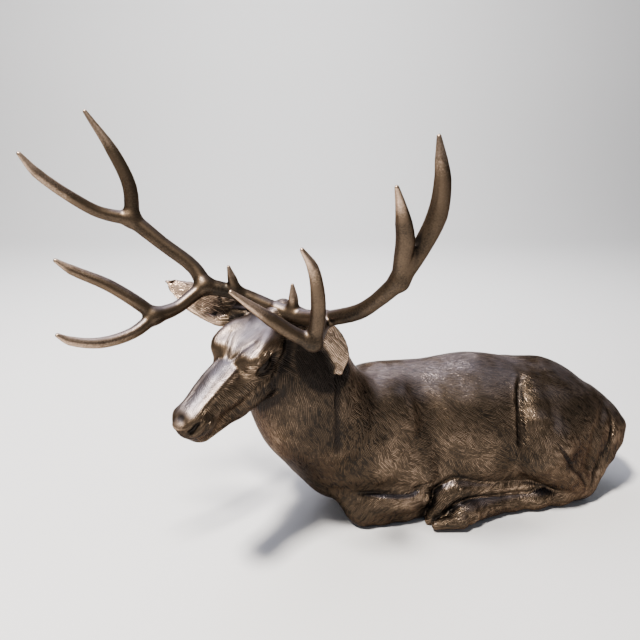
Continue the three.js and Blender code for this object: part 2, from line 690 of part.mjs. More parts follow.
function behindSeat({ at, way }, gap) {
  const size = 120;   // more than the whole foot behind the seat
  const block = new THREE.BoxGeometry(size, size, size);
  block.translate(0, -size / 2 + gap, 0);
  const outwards = new THREE.Vector3(...unit(headWay(way)));
  const turn = new THREE.Quaternion().setFromUnitVectors(new THREE.Vector3(0, 1, 0), outwards);
  block.applyQuaternion(turn).translate(...inHead(at));
  return solidFromGeometry(block);
}

function underGround() {
  const ground = new THREE.BoxGeometry(3000, 2000, 400);
  ground.translate(0, 0, -200);
  return solidFromGeometry(ground);
}

function deerSolid() {
  const masses = [...trunk(), ...neck(), ...tail(), ...skull()];
  for (const side of [NEAR, FAR]) masses.push(...foreleg(side), ...hindleg(side));
  masses.push(...nearHindFoot(), ...farHindFoot(), ...EAR_LEFT, ...EAR_RIGHT);
  const skin = { masses };
  const form = { masses, cuts: [...skullCuts(skin), ...creases(skin)], details: headDetails() };
  let solid = solidFromField(form, DEER_CELL, DEER_TRIANGLES).subtract(underGround());
  for (const antler of [ANTLER_LEFT, ANTLER_RIGHT]) solid = solid.subtract(footRoom(antler));
  return solid;
}

function antlerSolid(antler) {
  const solid = solidFromField(antlerForm(antler), ANTLER_CELL, ANTLER_TRIANGLES);
  return solid.subtract(behindSeat(antler.seat, FIT_GAP));
}

// ---- The sculpture ----

const bronze = new THREE.MeshStandardMaterial({ color: 0x5a4334, roughness: 0.42, metalness: 0.9 });
const sculpture = new THREE.Group();
sculpture.add(
  meshFromSolid('deer', deerSolid(), bronze),
  meshFromSolid('antler_left', antlerSolid(ANTLER_LEFT), bronze),
  meshFromSolid('antler_right', antlerSolid(ANTLER_RIGHT), bronze),
);

export default sculpture;
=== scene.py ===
"""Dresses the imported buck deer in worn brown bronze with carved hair, for Blender 4.5.

Lengths are millimetres until a mesh is made, which is in metres.
Flesh is the distance field that the part's solids come from: rounded masses between
anatomical points, blended together. Here it is meshed finer, and gets the small forms.
"""
import math

import bpy
import numpy as np
from mathutils import Matrix, Vector, kdtree


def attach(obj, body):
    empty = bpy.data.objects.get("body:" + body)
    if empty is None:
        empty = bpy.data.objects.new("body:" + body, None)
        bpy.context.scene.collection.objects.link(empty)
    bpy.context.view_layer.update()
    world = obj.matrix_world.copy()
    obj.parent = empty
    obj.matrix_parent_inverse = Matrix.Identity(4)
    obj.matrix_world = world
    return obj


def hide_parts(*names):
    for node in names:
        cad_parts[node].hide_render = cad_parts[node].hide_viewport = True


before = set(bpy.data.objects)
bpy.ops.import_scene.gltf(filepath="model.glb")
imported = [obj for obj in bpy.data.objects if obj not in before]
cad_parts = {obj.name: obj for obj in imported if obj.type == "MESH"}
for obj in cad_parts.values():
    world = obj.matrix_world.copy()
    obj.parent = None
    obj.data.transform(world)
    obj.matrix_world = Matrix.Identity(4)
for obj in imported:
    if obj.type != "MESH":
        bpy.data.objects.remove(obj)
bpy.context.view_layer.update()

MM = 0.001

# ---- Driving dimensions, shared with the solids ----

BACK = 430
LOIN_DROP = 216
POLL = np.array([-535.0, -210.0, 650.0])
HEAD_YAW, HEAD_PITCH, HEAD_ROLL = (math.radians(v) for v in (42.5, 31.5, 10.8))
FLESH, LIMB, HEAD_BLEND, FINE, ANTLER_BLEND = 55, 22, 18, 8, 11
NEAR, FAR = -1, 1

# ---- Meshing ----

BODY_CELL = 7.4
ANTLER_CELL = 3.2
FAR_AWAY = 1e3
BLOCK = 8                  # the grid is visited in blocks of this many cells a side
CLEAR_OF_BLOCK = 2.5       # a block whose middle is this many half diagonals away holds no surface
BATCH = 400                # blocks measured at a time
PROBE = 0.6                # step that the field's slope is measured over
MOST_STEP = 6
LEAST_SLOPE = 0.25
SAME_POINT = 1e-4
RNG = np.random.default_rng(7)


def unit(v):
    v = np.asarray(v, float)
    return v / np.linalg.norm(v, axis=-1, keepdims=True)


def head_axes():
    forward = np.array([-math.cos(HEAD_YAW) * math.cos(HEAD_PITCH),
                        -math.sin(HEAD_YAW) * math.cos(HEAD_PITCH),
                        -math.sin(HEAD_PITCH)])
    level = np.array([math.sin(HEAD_YAW), -math.cos(HEAD_YAW), 0])
    over = np.cross(forward, level)
    left = level * math.cos(HEAD_ROLL) - over * math.sin(HEAD_ROLL)
    return np.array([forward, left, np.cross(forward, left)])


HEAD = head_axes()


def head_way(p):
    return np.asarray(p, float) @ HEAD


def in_head(p):
    return POLL + head_way(p)


# ---- The distance field ----

def mass(a, b, ra, rb, blend, along=None, by=1, hair=None):
    """A rounded mass from a to b. Its section is squeezed by the factor by in the direction along."""
    a, b = np.asarray(a, float), np.asarray(b, float)
    ab = b - a
    return {
        "a": a, "ab": ab, "ra": ra, "rb": rb, "blend": blend, "length2": max(ab @ ab, 1e-9),
        "centre": (a + b) / 2, "reach": np.linalg.norm(ab) / 2 + max(ra, rb),
        "side": None if along is None else unit(along), "squeeze": by - 1,
        "hair": unit(hair if hair is not None else ab),
    }


def distance_to(m, p):
    if "members" in m:
        d = np.min([distance_to(one, p) for one in m["members"]], axis=0)
        return -smooth_min(-d, distance_to(m["hollow"], p), FINE / 2) if "hollow" in m else d
    q = p - m["a"]
    h = np.clip(q @ m["ab"] / m["length2"], 0, 1)
    q = q - h[:, None] * m["ab"]
    if m["side"] is not None:
        q = q + (m["squeeze"] * (q @ m["side"]))[:, None] * m["side"]
    return np.sqrt(np.einsum("ij,ij->i", q, q)) - (m["ra"] + (m["rb"] - m["ra"]) * h)


def bundle(members, blend):
    """Masses that join without swelling where they meet, as one mass."""
    low = np.min([m["centre"] - m["reach"] for m in members], axis=0)
    high = np.max([m["centre"] + m["reach"] for m in members], axis=0)
    return {"members": members, "blend": blend, "centre": (low + high) / 2,
            "reach": float(np.linalg.norm(high - low) / 2), "hair": members[0]["hair"]}


def smooth_min(a, b, k):
    h = np.maximum(k - np.abs(a - b), 0) / k
    return np.minimum(a, b) - h * h * k / 4


def add_masses(d, masses, p):
    for m in masses:
        bound = np.linalg.norm(p - m["centre"], axis=1) - m["reach"]
        near = np.nonzero(bound <= d + m["blend"])[0]
        if len(near):
            d[near] = smooth_min(d[near], distance_to(m, p[near]), m["blend"])


def field(form, p):
    """Distance from the skin: masses, cuts into them, details over the cuts, and the ground."""
    d = np.full(len(p), FAR_AWAY)
    add_masses(d, form["masses"], p)
    for c in form["cuts"]:
        bound = np.linalg.norm(p - c["centre"], axis=1) - c["reach"]
        near = np.nonzero(-bound >= d - c["blend"])[0]
        if len(near):
            d[near] = -smooth_min(-d[near], distance_to(c, p[near]), c["blend"])
    add_masses(d, form.get("details", []), p)
    if form["ground"]:
        d = np.maximum(d, -p[:, 2])
    return d


def gradient(form, p, h=PROBE):
    g = np.empty_like(p)
    for i in range(3):
        step = np.zeros(3)
        step[i] = h
        g[:, i] = (field(form, p + step) - field(form, p - step)) / (2 * h)
    return g


def on_surface(form, p, rounds=2):
    for _ in range(rounds):
        d = field(form, p)
        g = gradient(form, p)
        slope = np.maximum(np.einsum("ij,ij->i", g, g), LEAST_SLOPE)
        p = p - (np.clip(d, -MOST_STEP, MOST_STEP) / slope)[:, None] * g
    return p


def smooth_curve(points, t):
    """Centripetal Catmull-Rom through the points, as three.js has it, at the shares t of its knots."""
    points = [np.asarray(p, float) for p in points]
    last = len(points) - 1
    out = []
    for share in t:
        k = min(int(share * last), last - 1)
        w = share * last - k
        p1, p2 = points[k], points[k + 1]
        p0 = points[k - 1] if k > 0 else 2 * points[0] - points[1]
        p3 = points[k + 2] if k + 2 <= last else 2 * points[last] - points[last - 1]
        d0, d1, d2 = (np.sqrt(np.linalg.norm(b - a)) for a, b in ((p0, p1), (p1, p2), (p2, p3)))
        d1 = 1.0 if d1 < SAME_POINT else d1
        d0 = d1 if d0 < SAME_POINT else d0
        d2 = d1 if d2 < SAME_POINT else d2
        m1 = ((p1 - p0) / d0 - (p2 - p0) / (d0 + d1) + (p2 - p1) / d1) * d1
        m2 = ((p2 - p1) / d1 - (p3 - p1) / (d1 + d2) + (p3 - p2) / d2) * d1
        out.append(p1 + m1 * w + (3 * (p2 - p1) - 2 * m1 - m2) * w ** 2 + (2 * (p1 - p2) + m1 + m2) * w ** 3)
    return out


def chain(points, radii, steps, blend, along=None, by=1, hair=None):
    t = [i / steps for i in range(steps + 1)]
    at = smooth_curve(points, t)
    r = np.interp(t, np.linspace(0, 1, len(radii)), radii)
    return [mass(at[i], at[i + 1], r[i], r[i + 1], blend, along, by, hair) for i in range(steps)]


# ---- The body's masses ----

FLANK_HAIR = [0.78, 0, -0.62]


def trunk():
    side = [0, 1, 0]
    return [
        mass([-205, 0, 213], [50, 0, BACK - LOIN_DROP], 190, 194, FLESH, side, 1.16, FLANK_HAIR),
        mass([-120, 0, 186], [160, -10, 186], 164, 166, FLESH, hair=[0.9, 0, -0.35]),
        mass([-120, 0, 90], [160, -10, 90], 96, 96, FLESH, hair=[0.9, 0, -0.35]),
        mass([50, 0, BACK - LOIN_DROP], [240, -10, 219], 194, 183, FLESH, side, 1.17, [0.85, 0, -0.5]),
        mass([250, -12, 222], [385, -36, 205], 160, 112, FLESH, hair=[0.72, 0, -0.7]),
        mass([385, -38, 205], [436, -56, 190], 100, 78, FLESH, hair=[0.4, 0, -0.9]),
        mass([-385, -75, 215], [-250, -20, 185], 116, 155, FLESH, hair=[0.35, 0.1, -0.9]),
        mass([-358, -68, 122], [-250, -20, 106], 80, 110, FLESH, hair=[0.8, 0, -0.4]),
    ]


def neck():
    return chain([[-330, -54, 236], [-434, -120, 346], [-480, -160, 466], [-506, -176, 560]],
                 [136, 133, 110, 70], 6, FLESH, hair=[0.3, 0.22, -0.93])


TAIL = [[436, -58, 268], [470, -94, 225], [438, -120, 145], [394, -140, 57]]


def tail():
    return chain(TAIL, [25, 30, 27, 13], 6, FINE)


def hoof(at, way, across, size=1.0):
    """A cloven hoof: two tapering toes side by side, and two dewclaws behind the fetlock."""
    at, w, s = np.asarray(at, float), unit(way), unit(across)
    toes = [mass(at + 15 * k * s, at + (15 * k + 2 * k) * s + 64 * size * w, 19 * size, 11 * size, FINE)
            for k in (-1, 1)]
    claws = []
    for k in (-1, 1):
        root = at - 42 * w + 12 * k * s
        claws.append(mass(root, root + 14 * w + [0, 0, -12], 8, 6, FINE))
    return toes + claws


def foreleg(side):
    low = 262 if side == FAR else 316     # height of the shoulder blade

    def y(v):
        return side * v
    return [
        mass([-225, y(74), low - 32], [-325, y(108), 205], 80, 86, FLESH, hair=[0.75, 0, -0.65]),
        mass([-325, y(116), 190], [-126, y(136), 148], 74, 52, LIMB * 1.5, hair=[0.8, 0, -0.6]),
        mass([-334, y(126), 116], [-240, y(140), 100], 54, 50, LIMB, hair=[-0.9, 0, -0.4]),
        mass([-232, y(112), low + 18], [-214, y(120), low], 66, 62, FLESH, hair=[0.75, 0, -0.65]),
        mass([-282, y(128), 226], [-262, y(134), 210], 68, 62, FLESH, hair=[0.5, 0, -0.86]),
        mass([-312, y(146), 70], [-304, y(150), 54], 44, 42, LIMB, hair=[-0.2, 0, -0.95]),
        *chain([[-134, y(156), 74], [-200, y(157), 76], [-290, y(154), 62]], [33, 42, 43], 3, LIMB),
        *chain([[-288, y(158), 32], [-210, y(152), 26], [-110, y(144), 22]], [34, 28, 24], 3, LIMB),
        *hoof([-100, y(142), 24], [1, 0, -0.05], [0, 1, 0]),
    ]


def hindleg(side):
    def y(v):
        return side * v - 10
    low = 20 if side == FAR else 0
    return [
        mass([300, y(62), 225], [222, y(126), 218 - low], 114, 84, LIMB * 1.6, hair=[0.3, 0, -0.95]),
        mass([345, y(65), 185], [378, y(100), 78], 98, 50, LIMB, hair=[0.5, 0, -0.86]),
        mass([222, y(138), 212 - low], [186, y(146), 196 - low], 72, 62, LIMB, hair=[0.55, 0, -0.84]),
        *chain([[200, y(146), 182 - low], [284, y(138), 122 - low / 2], [372, y(118), 55]],
               [62, 52, 36], 4, LIMB, hair=[0.8, 0, -0.6]),
        *chain([[180, y(70), 356], [176, y(132), 304], [178, y(156), 246]],
               [28, 34, 36], 3, LIMB, hair=[0.1, 0, -1]),
    ]


def hind_feet():
    return [
        *chain([[378, -118, 34], [260, -143, 34], [140, -148, 34], [56, -166, 34], [10, -186, 38]],
               [35, 33, 32, 30, 30], 6, LIMB),
        *chain([[10, -186, 38], [-12, -194, 40], [-34, -201, 31]], [30, 34, 27], 3, FINE),
        *hoof([-30, -203, 31], [-1, 0.04, -0.1], [0.1, 1, 0.1], 1.12),
        *chain([[300, -100, 74], [210, -138, 78], [140, -148, 83], [70, -152, 85], [10, -156, 88]],
               [27, 23, 23, 25, 28], 6, FINE),
        *chain([[10, -156, 88], [-40, -162, 94], [-72, -165, 74]], [29, 35, 28], 4, FINE),
        *hoof([-70, -165, 72], [-0.55, -0.02, -0.83], [0, 1, 0.1], 1.12),
    ]


STEPS_A_SPAN = 4
ROUNDS_TO_SKIN = 5
FADE = 4.5              # a line has its full height from 1 / FADE of its length inside each end


def along_skin(skin, points, radii, height, blend):
    """A ridge along points, or a crease where the height is negative. The points are first
    brought onto the skin, and the height dies away towards both ends."""
    steps = STEPS_A_SPAN * (len(points) - 1)
    share = np.linspace(0, 1, steps + 1)
    path = on_surface(skin, np.array(smooth_curve(points, share)), ROUNDS_TO_SKIN)
    out = unit(gradient(skin, path))
    radius = np.interp(share, np.linspace(0, 1, len(radii)), radii)
    stands = height * np.minimum(1, FADE * np.minimum(share, 1 - share))
    centre = path + out * (stands - math.copysign(1, height) * radius)[:, None]
    ends = [(i, i + 1) for i in range(steps)]
    return bundle([mass(centre[i], centre[j], radius[i], radius[j], blend) for i, j in ends], blend)


def mirrored(points, side):
    return [[x, -side * y, z] for x, y, z in points]


FLANK_LINE = [[160, -84, 402], [140, -112, 372], [128, -146, 334], [124, -168, 297], [126, -184, 254],
              [128, -196, 206]]
HAUNCH_LINE = [[206, -198, 262], [234, -214, 222], [276, -206, 172], [340, -176, 98], [362, -176, 64]]
RUMP_LINE = [[426, -90, 304], [391, -135, 283], [359, -169, 250], [356, -177, 197], [364, -166, 140]]
BELLY_LINE = [[-330, -180, 122], [-290, -188, 116], [-236, -194, 114], [-176, -198, 112], [-128, -196, 122],
              [-92, -190, 138]]
ELBOW_LINE = [[-102, -168, 254], [-90, -177, 213], [-82, -184, 166]]
BLADE_LINE = [[-150, -118, 372], [-132, -150, 318], [-108, -170, 262], [-92, -178, 214], [-84, -184, 170]]
TAIL_LINE = [[412, -84, 296], [420, -112, 232], [398, -138, 152], [366, -150, 66]]
THROAT_LINE = [[-395, -254, 492], [-396, -266, 435], [-394, -266, 357], [-388, -256, 290]]


RIDGE_SHIFT = 15        # from the flank crease forward to the raised line before it


def creases(skin):
    cuts = []
    for side in (NEAR, FAR):
        for points, radii, depth, blend in (
                (FLANK_LINE, [5, 9, 10, 11, 12, 9], 9, 7), (HAUNCH_LINE, [4, 6, 7, 7, 5], 7, 5),
                (RUMP_LINE, [10, 16, 16, 10], 4, 16), (BELLY_LINE, [5, 7, 7, 7], 7, 7),
                (ELBOW_LINE, [8, 13, 10], 6, 18), (BLADE_LINE, [30, 38, 36, 28, 16], 7, 30)):
            cuts.append(along_skin(skin, mirrored(points, side), radii, -depth, blend))
    cuts.append(along_skin(skin, THROAT_LINE, [3, 6, 6, 4], -1.6, 10))
    cuts.append(along_skin(skin, TAIL_LINE, [6, 9, 9, 7], -10, 4))
    return cuts


def flank_ridges(skin):
    """The raised line before the flank crease, on both sides."""
    added = []
    for side in (NEAR, FAR):
        line = [[x - RIDGE_SHIFT, y - 2, z] for x, y, z in FLANK_LINE]
        added.append(along_skin(skin, mirrored(line, side), [4, 7, 7, 5], 1.8, 6))
    return added


# ---- Head ----

def head_mass(a, b, ra, rb, blend=HEAD_BLEND, along=None, by=1, hair=None):
    return mass(in_head(a), in_head(b), ra, rb, blend, None if along is None else head_way(along), by,
                None if hair is None else head_way(hair))


MUZZLE_HAIR = [-0.35, 0, -0.94]


def skull():
    side = [0, 1, 0]
    masses = [
        head_mass([10, 0, -66], [110, 0, -54], 60, 58, hair=[-1, 0, -0.2]),
        head_mass([120, 0, -52], [220, 0, -48], 52, 42, HEAD_BLEND, side, 1.1, MUZZLE_HAIR),
        head_mass([220, 0, -46], [296, 0, -48], 43, 42, HEAD_BLEND, side, 1.12, MUZZLE_HAIR),
        head_mass([90, 0, -116], [200, 0, -114], 52, 39, hair=MUZZLE_HAIR),
        head_mass([200, 0, -114], [296, 0, -84], 39, 31, hair=MUZZLE_HAIR),
        head_mass([-8, 14, -14], [20, 8, -10], 22, 18),
        head_mass([298, 0, -42], [311, 0, -44], 30, 27, FINE),
        head_mass([66, 0, -27], [126, 0, -27], 56, 46, HEAD_BLEND, [0, 0, 1], 1.7, [-0.9, 0, 0]),
    ]
    for s in (-1, 1):
        masses.append(head_mass([138, s * 38, -20], [92, s * 40, -24], 31, 34, HEAD_BLEND))
        brow = [in_head(p) for p in ([150, s * 50, -4], [136, s * 56, 0], [104, s * 50, 3], [60, s * 34, -8])]
        masses.append(bundle(chain(brow, [7, 9, 10, 8], 6, FINE), 14))
        masses.append(head_mass([70, s * 34, -104], [175, s * 30, -98], 50, 34))
        masses.append(head_mass([130, s * 38, -56], [206, s * 24, -56], 30, 24, hair=MUZZLE_HAIR))
        masses.append(head_mass([6, s * 20, -34], [8, s * 24, -18], 26, 18, FINE))
        masses.append(head_mass([292, s * 18, -44], [305, s * 14, -36], 26, 25, FINE))
    return masses


def on_head(points, s):
    """Points in the head's frame, on its left where s is 1 and mirrored to its right where s is -1."""
    return [in_head([f, s * l, u]) for f, l, u in points]


def nasal_plate():
    """The flat top of the muzzle with its two edges, from under the forehead to the nose."""
    spine = [in_head(p) for p in ([150, 0, -22], [184, 0, -13], [250, 0, -14], [320, 0, -21])]
    plate = chain(spine, [20, 25, 24, 21], 6, 5, head_way([0, 0, 1]), 2.6)
    for s in (-1, 1):
        edge = on_head([[158, 20, -20], [186, 24, -14], [250, 23, -15], [318, 17, -22]], s)
        plate += chain(edge, [6, 8, 8, 7], 6, 5)
    return bundle(plate, 6)


def skull_cuts(skin):
    cuts = []
    for s in (-1, 1):
        cuts.append(head_mass([146, s * 73, -30], [106, s * 77, -34], 16, 19, 8))
        nostril = on_head([[330, 16, -40], [324, 26, -31], [313, 34, -23], [302, 37, -22]], s)
        cuts.append(along_skin(skin, nostril, [4, 6, 6.5, 4], -8, 3))
        mouth = on_head([[333, 8, -80], [316, 27, -86], [274, 35, -100], [230, 38, -116]], s)
        cuts.append(along_skin(skin, mouth, [3, 4, 4, 3], -3, 3))
        frown = on_head([[172, 3, 4], [150, 14, 6], [112, 30, 10]], s)
        cuts.append(along_skin(skin, frown, [3, 5, 3], -0.8, 6))
    return cuts


EYE = (127, 49, -28)
EYE_RADIUS = 17.5
EYE_HALF = 3            # the eyeball is this much longer than a ball, to the front and to the back


def head_details(skin):
    """What stands in the hollows: eyeballs, lids and the rims of the nostrils."""
    added = [nasal_plate()]
    for s in (-1, 1):
        front, back = ([EYE[0] + k, s * EYE[1], EYE[2]] for k in (EYE_HALF, -EYE_HALF))
        added.append(head_mass(front, back, EYE_RADIUS, EYE_RADIUS, 2))
        for lid in ([[150, 54, -27], [140, 61, -17], [122, 64, -14], [104, 61, -23]],
                    [[150, 54, -30], [138, 60, -39], [120, 62, -41], [104, 61, -30]]):
            added.append(bundle(chain(on_head(lid, s), [2, 3.2, 3.2, 2], 6, 3), 2.5))
        rim = on_head([[331, 22, -44], [321, 33, -41], [310, 40, -33], [301, 41, -26]], s)
        added.append(along_skin(skin, rim, [3, 5, 5, 3], 3, 4))
    return added


EAR_SQUEEZE = 3
EAR_HOLLOW = 13         # from the leaf's middle out to the hollow's


def ear(root, middle, tip, facing):
    """A flat leaf that swells and closes to a tip, hollowed on its open side."""
    away = unit(head_way(facing))
    points = [in_head(p) for p in (root, middle, tip)]
    leaf = bundle(chain(points, [25, 43, 35, 10], 12, FINE, away, EAR_SQUEEZE), FINE)
    hollow = [p + away * EAR_HOLLOW for p in points]
    start = hollow[0] + (hollow[1] - hollow[0]) * 0.4
    end = hollow[1] + (hollow[2] - hollow[1]) * 0.78
    leaf["hollow"] = bundle(chain([start, hollow[1], end], [14, 31, 9], 6, 3, away, EAR_SQUEEZE), 3)
    return [leaf, mass(points[0], points[0] + (points[1] - points[0]) * 0.3, 20, 17, FINE)]


EAR_LEFT = ear([-4, 74, -52], [-8, 126, -92], [18, 158, -136], [-0.6, -0.5, -0.55])
EAR_RIGHT = ear([35, -66, -32], [64, -148, -5], [84, -236, 43], [0.48, 0.43, 0.76])

# ---- Antlers ----

ANTLER_RIGHT = {
    "seat": ([9, -30, 3], [0.28, -0.86, 0.43]),
    "branches": [
        ([[2, -8, -14], [25, -82, 23], [58, -140, 54]], [15.5, 15, 17]),
        ([[58, -140, 54], [45, -172, 84], [52, -237, 138], [57, -299, 190]], [17, 14.5, 14, 16]),
        ([[26, -82, 31], [17, -92, 59], [8, -101, 83]], [12, 9, 4]),
        ([[57, -299, 190], [95, -338, 225], [114, -366, 263], [137, -406, 335], [138, -426, 375]],
         [14, 11.5, 11, 9, 4.5]),
        ([[57, -299, 190], [19, -313, 244], [-3, -349, 308], [-15, -399, 383]], [15, 13.5, 11.5, 4.5]),
        ([[58, -140, 54], [97, -147, 53], [138, -154, 54], [182, -168, 68]], [15, 13.5, 13, 16.5]),
        ([[182, -168, 68], [190, -198, 108], [204, -241, 152], [230, -289, 198], [239, -309, 224]],
         [13, 12.5, 11.5, 9, 4.5]),
        ([[182, -168, 68], [241, -172, 74], [299, -192, 97], [335, -218, 130], [344, -230, 151]],
         [13, 11, 10, 8, 4.5]),
    ],
}
BRANCH_SPARE = 1.2      # a bundled branch is this much thinner than a blended one
SLIM = 6                # radius of a tip that gets no spare

ANTLER_LEFT = {
    "seat": ([2, 27, -6], [-0.05, 0.98, 0.1]),
    "branches": [
        ([[4, 6, -10], [-3, 65, -11], [-4, 132, 15]], [19, 17.5, 16]),
        ([[-4, 132, 15], [-13, 218, 74], [-24, 254, 112], [-52, 288, 152]], [15.5, 14.5, 13.5, 16]),
        ([[-5, 45, -6], [-20, 42, 24], [-33, 36, 48]], [12, 9, 4]),
        ([[-54, 290, 155], [-69, 290, 197], [-78, 292, 233], [-79, 290, 270], [-76, 288, 309],
          [-72, 285, 347]], [14, 15, 16, 13.5, 8, 4]),
        ([[-54, 290, 155], [-100, 306, 195], [-144, 319, 246], [-168, 317, 302], [-176, 310, 337],
          [-188, 300, 370]], [15, 16, 17, 13.5, 9.5, 4]),
        ([[-4, 132, 15], [48, 158, 47], [94, 184, 82]], [15.5, 15, 15]),
        ([[94, 184, 82], [73, 187, 119], [58, 190, 180], [45, 181, 233], [45, 166, 269]],
         [13.5, 13.5, 12, 9, 4]),
        ([[94, 184, 82], [106, 160, 102], [118, 118, 140], [134, 56, 201]], [13.5, 12.5, 12, 4]),
    ],
}


def antler_form(antler):
    masses = []
    for knots, radii in antler["branches"]:
        full = [r + BRANCH_SPARE * (r > SLIM) for r in radii]
        branch = chain([in_head(k) for k in knots], full, 4 * (len(knots) - 1), ANTLER_BLEND)
        masses.append(bundle(branch, ANTLER_BLEND))
    return {"masses": masses, "cuts": [], "ground": False}


def deer_form():
    masses = [*trunk(), *neck(), *tail(), *skull()]
    for side in (NEAR, FAR):
        masses += [*foreleg(side), *hindleg(side)]
    masses += [*hind_feet(), *EAR_LEFT, *EAR_RIGHT]
    skin = {"masses": masses, "cuts": [], "ground": False}
    cuts = [*skull_cuts(skin), *creases(skin)]
    details = [*head_details(skin), *flank_ridges(skin)]
    return {"masses": masses, "cuts": cuts, "details": details, "ground": True}


# ---- Meshing the field: one vertex in each cell that the surface passes ----

def sample_grid(form, cell):
    low = np.min([m["centre"] - m["reach"] for m in form["masses"]], axis=0) - 2 * cell
    high = np.max([m["centre"] + m["reach"] for m in form["masses"]], axis=0) + 2 * cell
    count = (np.ceil((high - low) / cell / BLOCK).astype(int) * BLOCK)
    blocks = count // BLOCK
    corner = np.stack(np.meshgrid(*[np.arange(n) for n in blocks], indexing="ij"), -1).reshape(-1, 3) * BLOCK
    middle = field(form, low + (corner + BLOCK / 2) * cell)
    clear = CLEAR_OF_BLOCK * BLOCK * cell * math.sqrt(3) / 2
    value = np.full(count, FAR_AWAY, np.float32)
    inner = np.stack(np.meshgrid(*[np.arange(BLOCK)] * 3, indexing="ij"), -1).reshape(-1, 3)
    for start in corner[middle < -clear]:
        i, j, k = start
        value[i:i + BLOCK, j:j + BLOCK, k:k + BLOCK] = -FAR_AWAY
    busy = corner[np.abs(middle) <= clear]
    for n in range(0, len(busy), BATCH):
        at = (busy[n:n + BATCH, None] + inner[None]).reshape(-1, 3)
        value[at[:, 0], at[:, 1], at[:, 2]] = field(form, low + at * cell)
    return value, low


CORNERS = np.array([[0, 0, 0], [1, 0, 0], [0, 1, 0], [1, 1, 0], [0, 0, 1], [1, 0, 1], [0, 1, 1], [1, 1, 1]])
EDGES = [(a, b) for a in range(8) for b in range(a + 1, 8) if np.abs(CORNERS[a] - CORNERS[b]).sum() == 1]


def surface_net(value, low, cell):
    inside = value < 0
    n = np.array(value.shape) - 1
    corners = [inside[c[0]:c[0] + n[0], c[1]:c[1] + n[1], c[2]:c[2] + n[2]] for c in CORNERS]
    filled = np.sum(corners, axis=0, dtype=np.int8)
    cells = np.argwhere((filled > 0) & (filled < len(CORNERS)))
    ids = np.full(n, -1, np.int64)
    ids[tuple(cells.T)] = np.arange(len(cells))
    at = [value[tuple((cells + c).T)] for c in CORNERS]
    total = np.zeros((len(cells), 3))
    weight = np.zeros(len(cells))
    for a, b in EDGES:
        cross = (at[a] < 0) != (at[b] < 0)
        t = np.where(cross, at[a] / np.where(cross, at[a] - at[b], 1), 0)
        total += np.where(cross[:, None], CORNERS[a] + t[:, None] * (CORNERS[b] - CORNERS[a]), 0)
        weight += cross
    points = low + (cells + total / weight[:, None]) * cell
    faces = []
    around = ((0, 0), (1, 0), (1, 1), (0, 1))
    for axis in range(3):
        u, v = (axis + 1) % 3, (axis + 2) % 3
        lo = [slice(None)] * 3
        hi = [slice(None)] * 3
        lo[axis], hi[axis] = slice(0, -1), slice(1, None)
        change = inside[tuple(lo)] != inside[tuple(hi)]
        where = np.argwhere(change)
        where = where[(where[:, u] > 0) & (where[:, v] > 0) & (where[:, u] < n[u]) & (where[:, v] < n[v])]
        step_u, step_v = np.eye(3, dtype=int)[u], np.eye(3, dtype=int)[v]
        quad = np.stack([ids[tuple((where - a * step_u - b * step_v).T)] for a, b in around], 1)
        flip = ~inside[tuple(where.T)]
        quad[flip] = quad[flip][:, ::-1]
        faces.append(quad)
    return points, np.concatenate(faces)


def triangles(points, quads):
    """Splits each quad along its shorter diagonal."""
    a, b, c, d = (points[quads[:, i]] for i in range(4))
    short = np.linalg.norm(a - c, axis=1) <= np.linalg.norm(b - d, axis=1)
    q = quads
    one = np.where(short[:, None], q[:, [0, 1, 2]], q[:, [0, 1, 3]])
    two = np.where(short[:, None], q[:, [0, 2, 3]], q[:, [1, 2, 3]])
    return np.concatenate([one, two])


def edge_ids(faces):
    e = np.sort(np.stack([faces, np.roll(faces, -1, 1)], -1), -1).reshape(-1, 2)
    edges, index = np.unique(e, axis=0, return_inverse=True)
    return edges, index.reshape(-1, 3)


def refine(points, faces, wanted):
    """Splits the wanted triangles in four, and their neighbours so that no gap opens."""
    edges, of_face = edge_ids(faces)
    split = np.zeros(len(edges), bool)
    split[of_face[wanted].ravel()] = True
    new_id = np.full(len(edges), -1)
    new_id[split] = len(points) + np.arange(split.sum())
    points = np.concatenate([points, points[edges[split]].mean(1)])
    mid = new_id[of_face]
    has = mid >= 0
    number = has.sum(1)
    out = [faces[number == 0]]
    f, m = faces[number == 3], mid[number == 3]
    out += [np.stack(x, 1) for x in ((f[:, 0], m[:, 0], m[:, 2]), (m[:, 0], f[:, 1], m[:, 1]),
                                     (m[:, 2], m[:, 1], f[:, 2]), (m[:, 0], m[:, 1], m[:, 2]))]
    for k in range(3):
        roll = [k, (k + 1) % 3, (k + 2) % 3]
        one = (number == 1) & has[:, k]
        f, m = faces[one][:, roll], mid[one][:, roll]
        out += [np.stack(x, 1) for x in ((f[:, 0], m[:, 0], f[:, 2]), (m[:, 0], f[:, 1], f[:, 2]))]
        two = (number == 2) & ~has[:, (k + 2) % 3]
        f, m = faces[two][:, roll], mid[two][:, roll]
        out += [np.stack(x, 1) for x in ((f[:, 0], m[:, 0], f[:, 2]), (m[:, 0], f[:, 1], m[:, 1]),
                                         (m[:, 0], m[:, 1], f[:, 2]))]
    return points, np.concatenate(out)


def relax(points, faces, share):
    """Moves each point towards the mean of its neighbours."""
    a = faces.ravel()
    b = np.roll(faces, -1, 1).ravel()
    total = np.zeros_like(points)
    for i in range(3):
        total[:, i] = np.bincount(a, points[b, i], len(points)) + np.bincount(b, points[a, i], len(points))
    count = np.bincount(a, minlength=len(points)) + np.bincount(b, minlength=len(points))
    return points + share * (total / np.maximum(count, 1)[:, None] - points)


